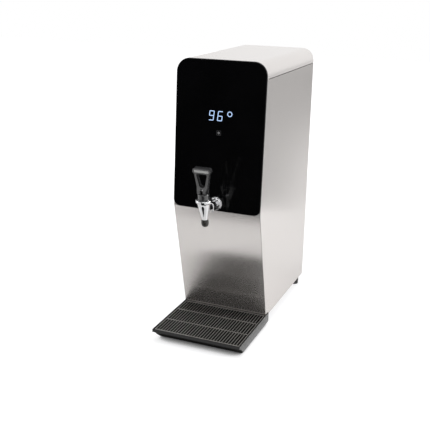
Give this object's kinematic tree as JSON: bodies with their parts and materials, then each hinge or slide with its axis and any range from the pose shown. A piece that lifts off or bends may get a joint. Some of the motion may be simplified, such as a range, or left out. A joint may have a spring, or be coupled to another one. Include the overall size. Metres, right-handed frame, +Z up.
{
  "type": "instant hot water dispenser",
  "caption": "Slim countertop hot water dispenser: brushed steel casing, black gloss front with display, pull-lever tap, and a removable drip tray with slotted grille.",
  "frame": {"origin": "on the surface that the dispenser stands on, under the middle of its overall box", "axes": "+Z up, -Y to the front, where the tap is, +X to the user's right"},
  "size_m": [0.2138, 0.497, 0.63],
  "materials": {
    "casing_steel": "satin",
    "fascia_black": "gloss",
    "tap_chrome": "polished",
    "lever_black": "gloss",
    "bonnet_dark": "satin",
    "label_white": "satin",
    "tray_plastic": "fine texture",
    "grille_plastic": "satin",
    "rubber_black": "matte",
    "silicone": "matte",
    "zinc_steel": "galvanised",
    "bolt_steel": "plain",
    "tank_steel": "dull",
    "felt": "fibrous",
    "sheath_steel": "dull",
    "brass_fitting": "plain",
    "valve_plastic": "satin",
    "coil_resin": "satin",
    "circuit_green": "satin",
    "phenolic": "satin",
    "display_face": "gloss",
    "gland_nylon": "satin",
    "block_plastic": "satin",
    "sink_aluminium": "plain"
  },
  "bodies": {
    "cabinet": {"left_side_panel": "casing_steel", "right_side_panel": "casing_steel", "lid_cover": "casing_steel", "front_panel": "casing_steel", "back_panel": "casing_steel", "front_fascia": "fascia_black", "display_standoffs": "valve_plastic", "display_board": "circuit_green", "display_block": "display_face", "touch_pad": "brass_fitting", "lid_screws": "bolt_steel", "back_screws": "bolt_steel", "base_plate": "zinc_steel", "base_screws": "bolt_steel", "rubber_feet": "rubber_black", "foot_bolts": "bolt_steel", "tank_shelf": "zinc_steel", "tank_shell": "tank_steel", "tank_gasket": "silicone", "tank_lid": "tank_steel", "tank_bolts": "bolt_steel", "tank_nuts": "bolt_steel", "insulation_jacket": "felt", "heating_element": "sheath_steel", "element_seal_ring": "silicone", "level_probes": "bolt_steel", "temperature_sensor": "bolt_steel", "overheat_cutout": "phenolic", "inlet_valve": "valve_plastic", "valve_coil": "coil_resin", "fill_pipe": "silicone", "overflow_pipe": "tank_steel", "control_bracket": "zinc_steel", "board_standoffs": "valve_plastic", "control_board": "circuit_green", "heat_sink": "sink_aluminium", "power_relay": "coil_resin", "terminal_block": "block_plastic", "mains_gland": "gland_nylon", "gland_locknut": "gland_nylon", "tap_body": "tap_chrome", "tap_shank": "tap_chrome", "tap_coupling_nut": "tap_chrome", "tap_collar": "tap_chrome", "tap_face_washer": "rubber_black", "tap_back_washer": "rubber_black", "tap_locknut": "brass_fitting", "outlet_sleeve": "silicone", "tap_bonnet": "bonnet_dark", "tap_spring": "bolt_steel"},
    "tap_valve": {"tap_stem": "tap_chrome", "tap_seat_cup": "silicone", "tap_lever_pin": "bolt_steel"},
    "tap_lever_arm": {"tap_lever": "lever_black", "lever_label": "label_white"},
    "drip_tray_basin": {"drip_tray": "tray_plastic", "tray_pads": "rubber_black"},
    "drip_tray_grille": {"drip_grille": "grille_plastic"}
  },
  "joints": [
    {"name": "tap_stem_lift", "type": "slide", "parent": "cabinet", "child": "tap_valve", "axis": [0, -0.1392, 0.9903], "range_m": [0, 0.00432], "deforming": ["tap_spring"]},
    {"name": "tap_lever_pull", "type": "hinge", "parent": "tap_valve", "child": "tap_lever_arm", "pos_m": [0, -0.21018, 0.36358], "axis": [1, 0, 0], "range_deg": [0, 45], "stiffness_Nm_per_rad": 0.06, "springref_deg": -34.38},
    {"name": "drip_tray_slide", "type": "slide", "parent": "cabinet", "child": "drip_tray_basin", "axis": [0, -1, 0], "range_m": [0, 0.2]},
    {"name": "grille_lift_off", "type": "slide", "parent": "drip_tray_basin", "child": "drip_tray_grille", "axis": [0, -0.342, 0.9397], "range_m": [0, 0.12]}
  ],
  "couplings": [
    {"joint": "tap_lever_pull", "follows": "tap_stem_lift", "rad_per_m": 181.82}
  ]
}
